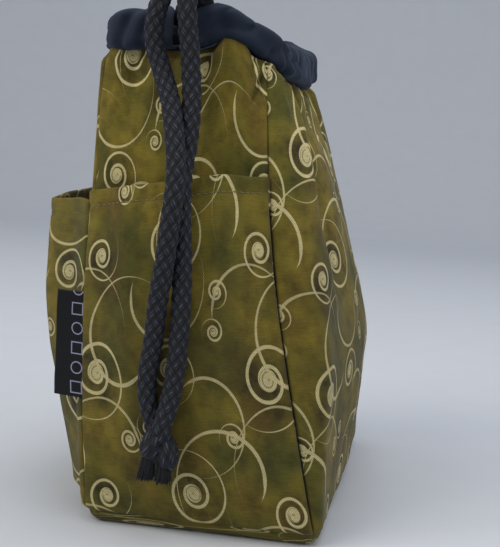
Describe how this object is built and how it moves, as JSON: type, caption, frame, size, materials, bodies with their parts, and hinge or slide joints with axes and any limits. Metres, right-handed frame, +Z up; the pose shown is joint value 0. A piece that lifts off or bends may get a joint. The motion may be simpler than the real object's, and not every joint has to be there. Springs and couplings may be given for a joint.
{
  "type": "kinchaku drawstring pouch",
  "caption": "Box-bottomed cloth pouch with a gathered casing, drawstrings that close the mouth from both ends, and open patch pockets outside.",
  "frame": {"origin": "middle of the base panel's underside, on the surface the pouch stands on", "axes": "+Z up towards the mouth; -Y out of the narrow end that has the pocket; +X out of the long side without a pocket"},
  "size_m": [0.1083, 0.167, 0.173],
  "materials": {
    "printed_cotton": "olive and gold-brown mottled quilting cotton, matt, printed with pale spirals",
    "navy_cotton": "navy plain-weave cotton, matt",
    "lining_cotton": "navy plain-weave cotton, matt",
    "braided_cord": "near-black navy round braid, slightly glossy strands",
    "label_satin": "black satin ribbon with soft sheen"
  },
  "bodies": {
    "root": {"near_end_panel": "printed_cotton", "right_side_panel": "printed_cotton", "far_end_panel": "printed_cotton", "left_side_panel": "printed_cotton", "base_panel": "printed_cotton", "near_end_pocket": "printed_cotton", "left_side_pocket": "printed_cotton", "lining": "lining_cotton", "care_label": "label_satin", "casing_right": "navy_cotton", "casing_left": "navy_cotton", "near_drawstring": "braided_cord", "far_drawstring": "braided_cord", "near_knot": "braided_cord", "far_knot": "braided_cord"}
  },
  "joints": []
}
